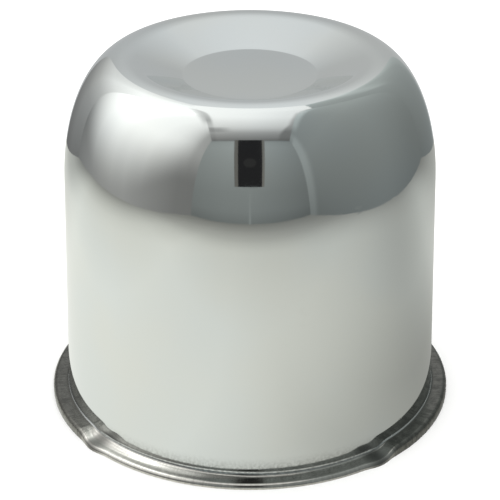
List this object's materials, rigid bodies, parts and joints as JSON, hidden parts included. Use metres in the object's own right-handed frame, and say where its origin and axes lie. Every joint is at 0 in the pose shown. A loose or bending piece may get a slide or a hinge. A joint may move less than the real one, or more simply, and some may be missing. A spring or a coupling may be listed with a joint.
{
  "type": "wheel centre cap",
  "caption": "Closed push-through centre cap for a trailer wheel: a deep-drawn mirror-polished steel cup with a rounded shoulder, a dished top and a short pressed flange with grip dimples.",
  "frame": {"origin": "on the cap's axis, at the level of the cut edge that it stands on", "axes": "+Z along the cap's axis, from the open end towards the dished closed end; -Y towards the side that shows two of the flange's dimples"},
  "size_m": [0.1172, 0.1172, 0.1034],
  "materials": {
    "polished_steel": "mirror polished on the wall, shoulder and dish; dull and tool-marked on the flange; satin as drawn inside"
  },
  "bodies": {
    "root": {"cap_shell": "polished_steel"}
  },
  "joints": []
}
